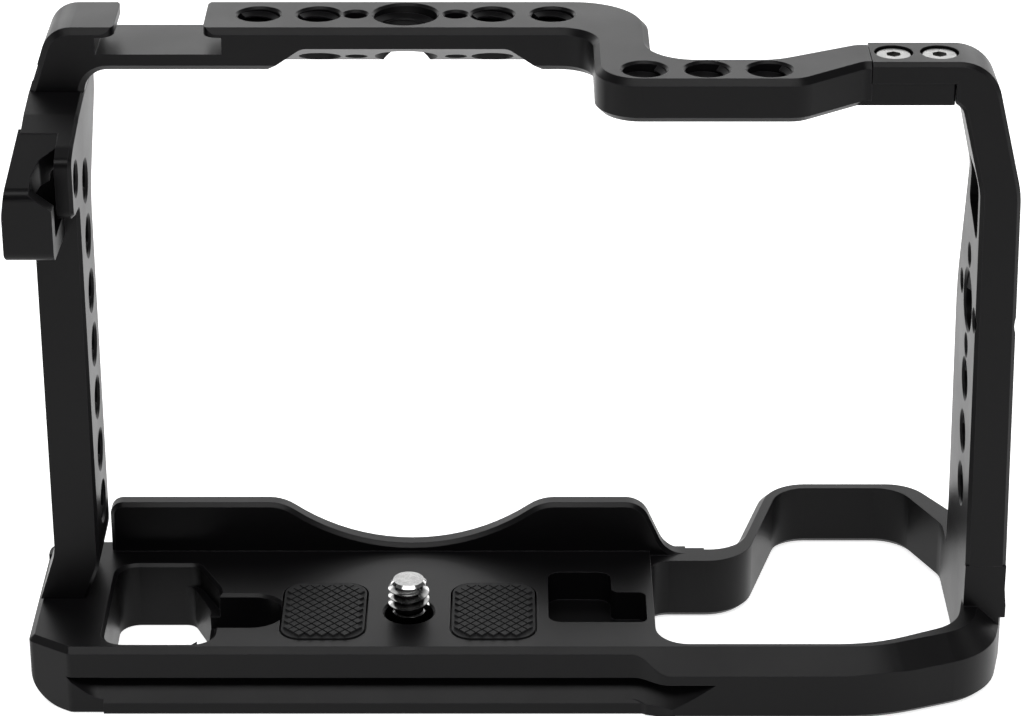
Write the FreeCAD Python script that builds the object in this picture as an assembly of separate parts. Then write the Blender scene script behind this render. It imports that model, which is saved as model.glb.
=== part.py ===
"""Camera cage for a full-size mirrorless body, in millimetres.

X runs across the camera to the grip side, Y from the rear screen towards the lens, +Z up.
The origin is on the camera screw's axis, in the plane that the camera's underside rests on.
"""
import FreeCAD, Part
import math
import os

V = FreeCAD.Vector
X = V(1, 0, 0)
Y = V(0, 1, 0)
Z = V(0, 0, 1)

# Frame
frame_height = 100.5      # sole to top face
left_inner_x = -48.0      # inner face of the left plate
right_inner_x = 86.0      # inner face of the right plate at its foot
pad_proud = 0.5           # the pads stand this far above the deck
broken_edge = 0.9         # chamfer along the top frame and the right plate
bolted_gap = 0.1          # around a tongue in its slot

# Base plate
base_t = 11.0
rear_y = -11.85          # rear face above the dovetail
foot_y = -12.33          # rear edge of the dovetail
grip_rear_y = -14.3      # rear face beside the grip loop
deck_left_x = -58.0
rear_edge = 0.9           # chamfer along the deck's rear edge
step_x = 37.0             # where the rear face steps out to the grip loop
step_run = 3.8
step_r = 4.0
corner_cut_x = 6.5
corner_cut_y = 4.2
end_round = 5.0           # round along the sole at the left end
sole_edge = 0.8
lip_h = 8.5
lip_t = 3.1
lip_y = 19.6              # inner face of the front lip
lip_right_x = 36.6
lip_ramp = 4.2            # the lip's right end runs down over this length
lens_r = 32.0
lens_drop = 7.3           # depth of the lens arc below the lip's top
lens_corner_r = 7.0

# Quick-release foot
foot_width = 38.0
foot_edge = 1.8
foot_rise = 2.85
foot_top = 6.1
foot_left_x = -46.5
foot_left_r = 2.0         # the groove runs out round these radii
foot_right_x = 33.2
foot_right_r = 14.0

# Grip loop
loop_left_x = 38.0
loop_near_y = -10.15
loop_step_y = 17.7
loop_front_y = 43.0
loop_wall = 2.6
loop_top = 10.25
loop_edge = 1.1           # chamfer outside the loop's front wall
loop_neck_x = 52.9
loop_nose_x = 60.3
loop_nose_end_x = 80.0
outer_right_x = 92.6
near_corner_x = 72.0
near_corner_cut = 6.8

# Deck pockets
window_x0 = -46.5
window_x1 = -29.8
window_y0 = -9.9
window_y1 = 15.1
window_r = 3.2
window_ledge = 4.0        # the window narrows below this depth, clear of the foot's groove
window_step = 2.4
window_taper = 4.0
window_slope_y = 8.0
window_shelf = 7.0        # the near right corner stays closed over this width
key_slot_end_x = -19.5
key_slot_w = 10.0
key_slot_y = 0.3
key_slot_depth = 6.2
pad_w = 12.8
pad_l = 17.4
pad_x = 13.1
pad_r = 3.2
pad_recess = 1.5
pad_gap = 0.3
door_x0 = 21.6
door_x1 = 36.8
door_step_x = 31.5
door_y0 = -3.4
door_y1 = 12.6
door_step_y = 6.1
door_depth = 5.0
pocket_edge = 0.5

# Camera screw, its captive washer and the ring that holds them
thread_r = 3.15
thread_pitch = 1.27
screw_above_deck = 5.7
neck_r = 2.5
screw_hole_r = 3.8
head_r = 6.6
head_h = 2.0
head_recess_r = 7.2
head_recess_depth = 7.7
coin_slot_w = 1.6
coin_slot_depth = 1.0
washer_r = 6.0
washer_t = 0.6
washer_fit = 0.05
ring_t = 0.8
ring_up = 0.4
ring_bore_r = 5.6
ring_groove = 0.5
ring_opening = 3.0

# Left plate
plate_t = 6.9
left_y0 = 4.0
left_y1 = 18.5
left_flare = 2.6
left_flare_h = 8.0
seam_flare = 1.3          # the plate's head leans out this far at the seam
seam_flare_h = 77.0
seam_h = 90.6             # sole to the seam of top frame and left plate
head_knee_y = 9.0
head_knee_h = 89.8
head_near_y = 0.5
head_near_h = 88.1
lobe_y = -2.7
lobe_t = 2.5
lobe_top_h = 86.8
lobe_low_h = 77.6
lug_y = -9.2
lug_wall = 2.6
lug_left_x = -57.6
lug_right_x = -50.3
lug_low_h = 73.8
lug_bend_h = 84.6
lug_notch_w = 3.2         # gap between the lug's web and the lobe
lug_notch_y = 1.1

# Right plate
right_y0 = 1.6
right_y1 = 24.6
right_seam_h = 18.0
right_t = 6.3
right_lean = 1.2
right_bend_h = 80.0
right_shoulder_x = 81.6
right_crown_x = 85.8
right_crown_r = 6.5       # round over the top outer corner
right_straight_h = 56.0
right_hip_y = 15.5
right_hip_h = 79.0
right_neck_h = 92.0
strap_y0 = 3.9
strap_y1 = 14.0
strap_h0 = 70.8
strap_h1 = 82.6
strap_slant = 3.8
strap_r = 1.6

# Top frame
bar_t = 6.6
bar_y0 = 16.1
bar_y1 = 29.3
grip_bar_y0 = -5.5
grip_bar_y1 = 4.05
grip_bar_end_x = 56.0
jog_inner_x = 27.9
jog_outer_x = 36.2
jog_r = 6.5
lap_x = 68.1
lap_end_x = 80.3
lap_t = 3.2
lap_y1 = 10.4
lap_gap = 0.12
corner_lean = 2.0
corner_r = 4.5
leg_fillet = 3.6
shoe_x = -36.6
shoe_w = 18.8
shoe_gap = 13.3
shoe_depth = 3.95
shoe_lip_t = 1.35
shoe_corner_r = 2.2       # round on the free corners of the shoe's lips
arch_half = 15.4
arch_rise = 3.5
arch_run = 5.1
skirt_drop = 1.8
skirt_y = 26.1
skirt_root_y = 22.5

# Tapped holes, plain bores at the thread's outer size
quarter_r = 3.175
three_eighth_r = 4.7625
locating_r = 1.7
mouth_edge = 0.35
locating_reach = 7.5
hole_pitch = 9.0
bar_hole_first = 13.0
grip_hole_first = 35.0
grip_hole_y = -0.7
left_hole_y = 12.1
left_hole_low = 24.0
left_hole_count = 7
lobe_hole_y = 1.7
lobe_hole_h = 82.5
right_hole_y = 11.3
right_hole_low = 27.5
right_hole_count = 3
right_centre_h = 58.7

# Small screws
screw_r = 1.5
screw_fit = 0.1
cap_r = 2.65
cap_h = 1.7
cap_clear = 0.2
cap_sunk = 0.3
hex_across = 2.0
hex_depth = 1.0
lap_screw_x = 71.5
lap_screw_pitch = 6.7
foot_bite = 7.5
left_foot_x = -52.2
left_foot_cap_h = 4.5
right_foot_cap_h = 9.0
foot_screw_inset = 4.0
tongue_t = 2.8
tongue_h = 5.4
tongue_outer = 2.7        # wall of the leg outside the tongue
tongue_inset = 1.4
tongue_screw_inset = 3.4
tongue_cap_h = 1.2

# Heights and faces worked out from the above
z_deck = -pad_proud
z_sole = z_deck - base_t
z_top = z_sole + frame_height
z_bar = z_top - bar_t
z_seam = z_sole + seam_h
z_right_seam = z_sole + right_seam_h
z_lap = z_top - lap_t
lip_front_y = lip_y + lip_t
left_outer_x = left_inner_x - plate_t
right_outer_x = right_inner_x + right_t
bar_hole_y = (bar_y0 + bar_y1) / 2.0 + 0.2


def rounded(points, place):
    """Closed wire through (u, v, radius) corners; place turns u, v into a point."""
    n = len(points)
    corners = []
    for i in range(n):
        p = V(points[i][0], points[i][1], 0)
        a = V(points[i - 1][0], points[i - 1][1], 0) - p
        b = V(points[(i + 1) % n][0], points[(i + 1) % n][1], 0) - p
        r = points[i][2] if len(points[i]) > 2 else 0.0
        half = a.getAngle(b) / 2.0
        if r <= 0 or half > math.pi / 2 - 0.01:
            corners.append((p, None, p))
            continue
        cut = min(r / math.tan(half), 0.48 * a.Length, 0.48 * b.Length)
        r = cut * math.tan(half)
        a.normalize()
        b.normalize()
        middle = (a + b).normalize()
        centre = p + middle * (r / math.sin(half))
        corners.append((p + a * cut, centre - middle * r, p + b * cut))
    edges = []
    for i in range(n):
        start, through, end = corners[i]
        if through is not None:
            arc = [place(q.x, q.y) for q in (start, through, end)]
            edges.append(Part.Arc(*arc).toShape())
        after = corners[(i + 1) % n][0]
        if end.distanceToPoint(after) > 1e-6:
            edges.append(Part.LineSegment(place(end.x, end.y), place(after.x, after.y)).toShape())
    return Part.Wire(edges)


def plan(points, z0, z1):
    """Prism of an outline in X and Y between two heights."""
    return Part.Face(rounded(points, lambda u, v: V(u, v, z0))).extrude(Z * (z1 - z0))


def front(points, y0, y1):
    """Prism of an outline in X and Z between two depths."""
    return Part.Face(rounded(points, lambda u, v: V(u, y0, v))).extrude(Y * (y1 - y0))


def side(points, x0, x1):
    """Prism of an outline in Y and Z between two widths."""
    return Part.Face(rounded(points, lambda u, v: V(x0, u, v))).extrude(X * (x1 - x0))


def block(x0, x1, y0, y1, z0, z1):
    return Part.makeBox(x1 - x0, y1 - y0, z1 - z0, V(x0, y0, z0))


def rectangle(x0, x1, y0, y1, r):
    return [(x0, y0, r), (x1, y0, r), (x1, y1, r), (x0, y1, r)]


def rod(r, start, axis, length):
    return Part.makeCylinder(r, length, start, axis)


def mouth(r, at, axis):
    """Cone that chamfers a hole's mouth; axis points out of the hole."""
    over = 0.4
    return Part.makeCone(r, r + mouth_edge + over, mouth_edge + over, at - axis * mouth_edge, axis)


def through(r, start, axis, length):
    """Through hole with both mouths chamfered."""
    over = 0.6
    bore = rod(r, start - axis * over, axis, length + 2 * over)
    return [bore, mouth(r, start, axis * -1), mouth(r, start + axis * length, axis)]


def one(shape):
    """The single solid of a boolean result, with its split faces joined."""
    return sorted(shape.removeSplitter().Solids, key=lambda s: s.Volume)[-1]


def level_edges(shape, z, x0=-1e3, x1=1e3, y0=-1e3, y1=1e3):
    """Edges that lie wholly at one height, inside a window in plan."""
    found = []
    for edge in shape.Edges:
        box = edge.BoundBox
        flat = abs(box.ZMin - z) < 1e-4 and abs(box.ZMax - z) < 1e-4
        if flat and box.XMin > x0 and box.XMax < x1 and box.YMin > y0 and box.YMax < y1:
            found.append(edge)
    return found


def flare(points, z, size, up):
    """Cutter for a chamfered mouth round an opening at one height; up is the way out."""
    over = 1.0
    rim = rounded(points, lambda u, v: V(u, v, z - up * size))
    tool = Part.Face(rim.makeOffset2D(size)).extrude(Z * (up * (size + over)))
    return tool.makeChamfer(size, level_edges(tool, z - up * size))


def pocket(points, depth):
    """Cutter for a pocket in the deck with a chamfered mouth."""
    tool = plan(points, z_deck - depth, z_deck + 1.0)
    return tool.fuse(flare(points, z_deck, pocket_edge, 1))


def cap_screw(at, axis, length, head_h=cap_h):
    """Socket screw; at is under the head, axis points out of the head."""
    body = rod(screw_r, at - axis * length, axis, length)
    head = rod(cap_r, at, axis, head_h)
    rim = [e for e in head.Edges if e.Curve.TypeId == "Part::GeomCircle"
           and (e.Curve.Center - at).dot(axis) > head_h / 2]
    head = head.makeFillet(0.3, rim)
    side_v = Y if abs(axis.dot(Y)) < 0.5 else X
    up = axis.cross(side_v)
    reach = hex_across / math.sqrt(3)
    ring = []
    for i in range(7):
        turn = math.radians(60 * i)
        ring.append(at + axis * head_h + side_v * (reach * math.cos(turn)) + up * (reach * math.sin(turn)))
    socket = Part.Face(Part.makePolygon(ring)).extrude(axis * -hex_depth)
    return one(body.fuse(head).cut(socket))


def cap_bore(at, axis, bore_length, clear_h):
    """Cutter for a small screw: shank hole and head recess; at is under the head."""
    return [rod(screw_r + screw_fit, at - axis * bore_length, axis, bore_length + 1.0),
            rod(cap_r + cap_clear, at, axis, clear_h)]


# Base plate

def neck_x(y, wall):
    """Slanted left wall of the loop's nose at one depth, wall thickness outside it."""
    lean = (loop_nose_x - loop_neck_x) / (loop_front_y - loop_step_y)
    return loop_neck_x + lean * (y - loop_step_y) - wall * math.sqrt(1 + lean ** 2)


def base_outline():
    """Outer outline of the base and its grip loop."""
    out = outer_right_x
    nose_y = loop_front_y + loop_wall
    return [
        (deck_left_x, rear_y + corner_cut_y, 1.5),
        (deck_left_x + corner_cut_x, rear_y, 1.5),
        (step_x - step_run / 2, rear_y, step_r),
        (step_x + step_run / 2, grip_rear_y, step_r),
        (near_corner_x, grip_rear_y, 34.0),
        (out - 3.0, grip_rear_y + near_corner_cut, 15.0),
        (out, right_y0 + 4.0, 12.0),
        (out, loop_front_y - 14.0, 8.0),
        (loop_nose_end_x + loop_wall, nose_y, 8.0),
        (neck_x(nose_y, loop_wall), nose_y, 8.5),
        (neck_x(lip_front_y, loop_wall), lip_front_y, 5.5),
        (deck_left_x, lip_front_y, 3.0),
    ]


def loop_outline():
    """Inner outline of the grip loop."""
    inner = right_inner_x
    return [
        (loop_left_x, loop_near_y, 5.0),
        (near_corner_x - 1.0, loop_near_y, 24.0),
        (inner - 1.5, loop_near_y + near_corner_cut - 0.5, 8.0),
        (inner, right_y0 + 2.0, 6.0),
        (inner, loop_front_y - 13.0, 5.0),
        (loop_nose_end_x, loop_front_y, 6.0),
        (loop_nose_x, loop_front_y, 6.0),
        (loop_neck_x, loop_step_y, 8.0),
        (loop_left_x, loop_step_y, 3.0),
    ]


def bevel_ring(outline, z_edge, size, up, chosen=None):
    """What a chamfer takes off an outline's edge at one height; up points to the free side."""
    over = size + 1.0
    prism = plan(outline, min(z_edge, z_edge - up * over), max(z_edge, z_edge - up * over))
    edges = [e for e in level_edges(prism, z_edge) if chosen is None or chosen(e)]
    return prism.cut(prism.makeChamfer(size, edges))


def end_rounding():
    """What the round along the left end takes off the sole's corner."""
    x = deck_left_x + end_round
    z = z_sole + end_round
    corner = block(deck_left_x - 1.0, x, rear_y - 1.0, lip_front_y + 1.0, z_sole - 1.0, z)
    return corner.cut(rod(end_round, V(x, rear_y - 2.0, z), Y, lip_front_y - rear_y + 4.0))


def rear_bevel():
    """One flat chamfer behind the deck, as wide as the rear face stands out."""
    over = 3.0
    line = rear_y + rear_edge
    wedge = [(line + over, z_deck + over, 0), (line - 3 * over, z_deck + over, 0),
             (line - 3 * over, z_deck - 3 * over, 0)]
    return side(wedge, deck_left_x + corner_cut_x, near_corner_x - 8.0)


def near_corner():
    """Wide chamfer round the near right corner, up to the right plate."""
    start = near_corner_x - 8.0
    outline = [p for p in base_outline() if p[0] > start and p[1] < right_y0 + 5.0]
    outline = [(start, grip_rear_y, 0)] + outline + [(outer_right_x, right_y1, 0), (start, right_y1, 0)]
    size = rear_edge + rear_y - grip_rear_y
    ring = bevel_ring(outline, z_deck, size, 1,
                      lambda e: e.BoundBox.XMin > start + 0.1 and e.BoundBox.YMax < right_y1 - 0.1
                      or e.BoundBox.YMax < grip_rear_y + 0.1 or e.BoundBox.XMin > outer_right_x - 0.1)
    return ring.common(block(start - 1, outer_right_x + 1, grip_rear_y - 1, right_y0, z_sole, z_deck + 1))


def left_zone():
    """The cut corner at the deck's rear left."""
    x = deck_left_x + corner_cut_x
    zone = [(deck_left_x - 1.0, rear_y - 1.0, 0), (x, rear_y - 1.0, 0), (x, rear_y + 2.0, 0),
            (deck_left_x + 2.0, left_y1, 0), (deck_left_x - 1.0, left_y1, 0)]
    return plan(zone, z_sole, z_deck + 1.0)


def front_zone():
    """The loop's front wall and its left neck."""
    out = outer_right_x + 1.0
    far = loop_front_y + loop_wall + 1.0
    start = lip_right_x + lip_ramp + 3.0
    zone = [(start, lip_front_y - 2.0, 0), (out, lip_front_y + 3.0, 0), (out, far, 0), (start, far, 0)]
    return plan(zone, z_sole, z_deck + 1.0)


def lip():
    """Front lip with the arc that clears the lens."""
    z_lip = z_deck + lip_h
    rise = lens_r - lens_drop
    half = math.sqrt(lens_r ** 2 - rise ** 2)
    end = lip_right_x + lip_ramp
    root = z_sole + base_t / 2
    z_rim = z_sole + loop_top
    body = front([
        (left_inner_x, root, 0), (left_inner_x, z_lip, 2.0), (lip_right_x, z_lip, 4.0),
        (end, z_rim, 6.0), (end + 6.0, z_rim, 0), (end + 6.0, root, 0),
    ], lip_y, lip_front_y)
    body = body.cut(rod(lens_r, V(0, lip_y - lip_t, z_lip + rise), Y, 3 * lip_t))
    corners = [e for e in body.Edges
               if e.BoundBox.XLength < 1e-3 and e.BoundBox.ZLength < 1e-3
               and abs(abs(e.BoundBox.XMax) - half) < 0.1 and abs(e.BoundBox.ZMin - z_lip) < 1e-3]
    body = body.makeFillet(lens_corner_r, corners)
    rims = [e for e in body.Edges
            if e.BoundBox.YLength < 1e-4 and e.BoundBox.ZMin > z_deck + 0.2
            and e.BoundBox.XMin > left_inner_x + 0.01]
    return body.makeChamfer(0.6, rims)


def foot_groove():
    """Dovetail groove behind the foot, run out round a cone at both ends."""
    over = 8.0
    z_edge = z_sole + foot_edge
    z_roof = z_sole + foot_top
    run = z_roof - z_edge
    straight = side([
        (foot_y - over, z_sole - 1.0, 0), (foot_y, z_sole - 1.0, 0), (foot_y, z_edge, 0),
        (foot_y + foot_rise, z_edge + foot_rise, 0), (foot_y + foot_rise, z_roof, 0),
        (foot_y - over, z_roof, 0),
    ], foot_left_x, foot_right_x)
    limit = block(deck_left_x - 9.0, outer_right_x, foot_y - over, foot_y + foot_rise, z_sole - 2.0, z_roof)
    ends = []
    for x, r in ((foot_left_x, foot_left_r), (foot_right_x, foot_right_r)):
        centre = V(x, foot_y - r, z_edge)
        cone = Part.makeCone(r, r + run + 1.0, run + 1.0, centre, Z)
        ends.append(cone.common(limit))
        ends.append(rod(r, centre, Z * -1, foot_edge + 1.0))
    return [straight] + ends


def front_flange():
    """Front half of the dovetail, standing forward of the lip."""
    tip = foot_y + foot_width
    rise = tip - lip_front_y + 0.2
    return side([
        (lip_y, z_sole, 0), (tip, z_sole, 0), (tip, z_sole + foot_edge, 0),
        (tip - rise, z_sole + foot_edge + rise, 0), (lip_y, z_sole + foot_edge + rise, 0),
    ], foot_left_x, foot_right_x)


def rear_flange():
    """Rear half of the dovetail, as far as the step in the rear face."""
    rise = 2.0
    edge = z_sole + foot_edge
    return side([
        (0, z_sole, 0), (foot_y, z_sole, 0), (foot_y, edge, 0), (foot_y + rise, edge + rise, 0),
        (0, edge + rise, 0),
    ], foot_left_x, step_x)


def sole_bevel():
    """Cutter for the sole's outer edge beside the grip loop."""
    ring = bevel_ring(base_outline(), z_sole, sole_edge, -1)
    return ring.common(block(step_x + step_run, outer_right_x + 5, -50, 80, z_sole - 5, z_deck))


def loop_cutter():
    """The grip loop's opening, bevelled along the sole."""
    tool = plan(loop_outline(), z_sole - 1.0, z_deck + 1.0)
    return tool.fuse(flare(loop_outline(), z_sole, sole_edge, -1))


def upstand():
    """Foot of the right plate, grown from the loop's side."""
    root = 2.0
    fillet = front([
        (right_inner_x, z_deck - root, 0), (outer_right_x, z_deck - root, 0),
        (outer_right_x, z_deck, 2.0), (right_outer_x, z_deck + 3.0, 2.0),
        (right_outer_x, z_right_seam, 0), (right_inner_x, z_right_seam, 0),
    ], right_y0, right_y1)
    return fillet


def head_bore():
    """Screw hole, head recess and the groove for the ring."""
    return [
        rod(screw_hole_r, V(0, 0, z_sole), Z, base_t + 1.0),
        rod(head_recess_r, V(0, 0, z_sole - 1.0), Z, head_recess_depth + 1.0),
        rod(head_recess_r + ring_groove, V(0, 0, z_sole + ring_up), Z, ring_t),
        mouth(screw_hole_r, V(0, 0, z_deck), Z),
    ]


def window_cutters():
    """Through window at the left and the blind key slot beside it."""
    mid_y = window_y1 - window_slope_y
    opening = [
        (window_x0, window_y0, window_r), (window_x1, window_y0, window_r),
        (window_x1, mid_y, 4.0), (window_x1 - window_taper, window_y1, 2.0),
        (window_x0, window_y1, window_r),
    ]
    low_y = window_y0 + window_step
    low_x = window_x1 - 1.5
    below = [
        (window_x0, low_y, window_r), (window_x1 - window_shelf, low_y, 3.0),
        (low_x, low_y + window_shelf, 3.0),
        (low_x, mid_y, 4.0), (window_x1 - window_taper - 1.0, window_y1, 2.0),
        (window_x0, window_y1, window_r),
    ]
    half = key_slot_w / 2
    slot = rectangle(window_x1 - 3.0, key_slot_end_x, key_slot_y - half, key_slot_y + half, 0)
    slot[1] = (slot[1][0], slot[1][1], half * 0.96)
    slot[2] = (slot[2][0], slot[2][1], half * 0.96)
    return [pocket(opening, window_ledge), plan(below, z_sole - 1.0, z_deck), pocket(slot, key_slot_depth)]


def deck_pockets():
    cutters = []
    half_w = pad_w / 2 + pad_gap
    half_l = pad_l / 2 + pad_gap
    for x in (-pad_x, pad_x):
        shape = rectangle(x - half_w, x + half_w, -half_l, half_l, pad_r + pad_gap)
        cutters.append(plan(shape, z_deck - pad_recess, z_deck + 1.0))
    door = [
        (door_x0, door_y0, 2.0), (door_x1, door_y0, 1.2), (door_x1, door_step_y, 1.2),
        (door_step_x, door_step_y, 1.2), (door_step_x, door_y1, 2.0), (door_x0, door_y1, 2.0),
    ]
    cutters.append(plan(door, z_deck - door_depth, z_deck + 1.0))
    return cutters


def foot_screw_places(x, y0, y1, z_cap):
    """Points under the heads of a pair of screws that rise into a plate."""
    return [V(x, y0 + foot_screw_inset, z_cap), V(x, y1 - foot_screw_inset, z_cap)]


def left_foot_places():
    return foot_screw_places(left_foot_x, left_y0, left_y1, z_sole + left_foot_cap_h)


def right_foot_places():
    x = (right_inner_x + right_outer_x) / 2
    return foot_screw_places(x, right_y0, right_y1 - 4.0, z_sole + right_foot_cap_h)


def base_plate():
    outline = base_outline()
    body = plan(outline, z_sole, z_deck)
    low_zone = block(loop_left_x, outer_right_x + 5, loop_step_y - 4.0, loop_front_y + 20,
                     z_sole + loop_top, z_deck + 5)
    body = one(body.cut(low_zone))
    left_edge = bevel_ring(outline, z_deck, rear_edge, 1).common(left_zone())
    front_edge = bevel_ring(outline, z_sole + loop_top, loop_edge, 1).common(front_zone())
    body = body.cut([end_rounding(), rear_bevel(), left_edge, near_corner(), front_edge])
    body = body.cut([loop_cutter(), sole_bevel()])
    body = body.fuse([lip(), front_flange(), rear_flange(), upstand()])
    cutters = foot_groove() + head_bore() + window_cutters() + deck_pockets()
    for at in left_foot_places():
        cutters += cap_bore(at, Z * -1, base_t + 1, base_t)
    for at in right_foot_places():
        cutters += cap_bore(at, Z * -1, z_right_seam - at.z + 1, base_t)
    return one(body.cut(cutters))


# Screw between the pads

def camera_screw():
    top = z_deck + screw_above_deck
    head_top = z_sole + head_recess_depth - washer_t - washer_fit
    neck_top = z_deck + 0.4
    stud = rod(thread_r, V(0, 0, neck_top), Z, top - neck_top)
    ends = [e for e in stud.Edges if e.Curve.TypeId == "Part::GeomCircle"]
    stud = stud.makeChamfer(0.5, ends)
    neck = rod(neck_r, V(0, 0, head_top), Z, neck_top - head_top + 0.6)
    head = rod(head_r, V(0, 0, head_top - head_h), Z, head_h)
    head = head.makeChamfer(0.35, [e for e in head.Edges if e.Curve.TypeId == "Part::GeomCircle"])
    slot = block(-head_r, head_r, -coin_slot_w / 2, coin_slot_w / 2,
                 head_top - head_h - 1, head_top - head_h + coin_slot_depth)
    return one(stud.fuse([neck, head]).cut(slot))


def screw_washer():
    z0 = z_sole + head_recess_depth - washer_t - washer_fit
    disc = rod(washer_r, V(0, 0, z0), Z, washer_t)
    return disc.cut(rod(neck_r + washer_fit, V(0, 0, z0 - 1), Z, washer_t + 2))


def retaining_ring():
    z0 = z_sole + ring_up
    disc = rod(head_recess_r + ring_groove - washer_fit, V(0, 0, z0), Z, ring_t)
    disc = disc.cut(rod(ring_bore_r, V(0, 0, z0 - 1), Z, ring_t + 2))
    gap = block(0, 2 * head_recess_r, -ring_opening / 2, ring_opening / 2, z0 - 1, z0 + ring_t + 1)
    return one(disc.cut(gap))


def pad(x):
    shape = rectangle(x - pad_w / 2, x + pad_w / 2, -pad_l / 2, pad_l / 2, pad_r)
    body = plan(shape, z_deck - pad_recess, 0)
    return body.makeChamfer(0.25, level_edges(body, 0))


# Left plate

def left_profile():
    """Side outline of the plate: straight foot, forward head and rear lobe."""
    return [
        (left_y0, z_deck, 0), (left_y1, z_deck, 0),
        (left_y1, z_sole + 74.0, 10.0), (bar_y1, z_sole + 86.5, 4.0), (bar_y1, z_seam, 0),
        (bar_y0, z_seam, 2.0), (head_knee_y, z_sole + head_knee_h, 6.0),
        (head_near_y, z_sole + head_near_h, 4.0),
        (lobe_y, z_sole + lobe_top_h, 1.6), (lobe_y, z_sole + lobe_low_h, 2.0), (left_y0, z_sole + 76.8, 1.0),
    ]


def left_section():
    """Front outline of the plate with its flared foot."""
    return [
        (left_inner_x, z_seam, 0), (left_outer_x - seam_flare, z_seam, 0),
        (left_outer_x, z_sole + seam_flare_h, 12.0), (left_outer_x, z_deck + left_flare_h, 8.0),
        (left_outer_x - left_flare, z_deck, 0),
        (left_inner_x - 2.4, z_deck, 0), (left_inner_x, z_deck + 6.0, 8.0),
    ]


def strap_lug():
    """Bridge behind the lobe that takes a strap."""
    root_y = left_y0 + 1.0
    fall = (head_knee_h - head_near_h) / (head_knee_y - head_near_y)
    root_h = head_knee_h - (head_knee_y - root_y) * fall
    outer = [
        (root_y, z_sole + root_h, 0), (lug_y, z_sole + lug_bend_h, 1.8),
        (lug_y, z_sole + lug_low_h, 1.6), (root_y, z_sole + lug_low_h - 1.0, 0),
    ]
    body = side(outer, lug_left_x, lug_right_x)
    inner = [
        (left_y0, z_sole + root_h - 5.2, 1.0), (lug_y + lug_wall, z_sole + lug_bend_h - lug_wall, 1.2),
        (lug_y + lug_wall, z_sole + lug_low_h + lug_wall, 1.2), (left_y0, z_sole + lug_low_h + lug_wall, 1.0),
    ]
    body = body.cut(side(inner, lug_left_x - 1, lug_right_x + 1))
    round_off = front([
        (lug_right_x, z_sole + 60, 0), (lug_right_x, z_seam, 0),
        (left_outer_x - seam_flare, z_seam, 0),
        (lug_left_x, z_sole + 81.0, 8.0), (lug_left_x, z_sole + lug_low_h, 2.0),
        (left_outer_x, z_sole + lug_low_h - 1.5, 2.0), (left_outer_x, z_sole + 60, 0),
    ], lug_y - 1, root_y + 1)
    return body.common(round_off).cut(lug_notch())


def lug_notch():
    """Gap beside the lobe, with the lug's inner corner cut off below it."""
    deep_x = lug_right_x - lug_notch_w
    wall_y = lug_y + lug_wall
    gap = plan([
        (lug_right_x + 1, lug_notch_y, 0), (lug_right_x, lug_notch_y, 0),
        (deep_x + 0.8, lug_notch_y - 2.9, 1.0), (deep_x, wall_y + 1.2, 0.5),
        (deep_x, wall_y, 0), (lug_right_x + 1, wall_y, 0),
    ], z_sole + lug_low_h + lug_wall + 1.0, z_seam)
    corner_z = z_sole + lug_bend_h - 0.4
    corner = front([
        (deep_x, corner_z, 0), (lug_right_x + 1, corner_z - lug_notch_w, 0),
        (lug_right_x + 1, z_seam, 0), (deep_x, z_seam, 0),
    ], lug_y - 1, wall_y)
    return [gap, corner]


def tongue_box(grow):
    """Tongue on the left plate's head, or with grow the slot that takes it."""
    x0 = left_outer_x + tongue_outer
    return block(x0 - grow, x0 + tongue_t + grow, bar_y0 + tongue_inset - grow,
                 bar_y1 - tongue_inset + grow, z_seam - 1.0, z_seam + tongue_h + grow)


def tongue_screw_places():
    """Points under the heads of the two screws through the tongue."""
    z = z_seam + tongue_h - screw_r - 1.1
    x = left_outer_x + tongue_outer - 1.0
    return [V(x, bar_y0 + tongue_screw_inset, z), V(x, bar_y1 - tongue_screw_inset, z)]


def left_side_plate():
    body = front(left_section(), lobe_y - 1, bar_y1 + 1)
    body = body.common(side(left_profile(), left_outer_x - 10, left_inner_x + 1))
    hollow = block(left_outer_x - 10, left_inner_x - lobe_t, lobe_y - 5, left_y0, z_deck - 1, z_seam + 1)
    body = body.cut(hollow).fuse([strap_lug(), tongue_box(0)])
    cutters = []
    for i in range(left_hole_count):
        at = V(left_outer_x, left_hole_y, z_sole + left_hole_low + i * hole_pitch)
        cutters += through(quarter_r, at, X, plate_t)
    at = V(left_inner_x - lobe_t, lobe_hole_y, z_sole + lobe_hole_h)
    cutters += [rod(quarter_r - 0.6, at - X * 1, X, lobe_t + 2), mouth(quarter_r - 0.6, at + X * lobe_t, X)]
    for at in left_foot_places():
        cutters.append(rod(screw_r + screw_fit, V(at.x, at.y, z_deck - 1), Z, foot_bite + 1))
    for at in tongue_screw_places():
        cutters.append(rod(screw_r + screw_fit, at, X, plate_t))
    body = one(body.cut(cutters))
    near = [e for e in body.Edges
            if e.BoundBox.XLength < 1e-4 and abs(e.BoundBox.XMax - left_inner_x) < 1e-3
            and e.BoundBox.YLength < 1e-4 and e.BoundBox.ZLength > 20]
    return body.makeChamfer(0.5, near)


# Right plate

def right_section():
    """Front outline of the leaning plate with the lap over the top frame."""
    bend_in = right_inner_x - right_lean
    bend_out = bend_in + right_t - 0.3
    z_bend = z_sole + right_bend_h
    return [
        (right_inner_x, z_right_seam, 0), (bend_in, z_bend, 12.0),
        (right_shoulder_x, z_bar - 0.8, 3.0), (lap_end_x + lap_gap, z_bar + 0.2, 0),
        (lap_end_x + lap_gap, z_lap, 0), (lap_x, z_lap, 0), (lap_x, z_top, 0),
        (right_crown_x, z_top, right_crown_r), (bend_out, z_bend, 16.0),
        (right_outer_x, z_right_seam, 0),
    ]


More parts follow.
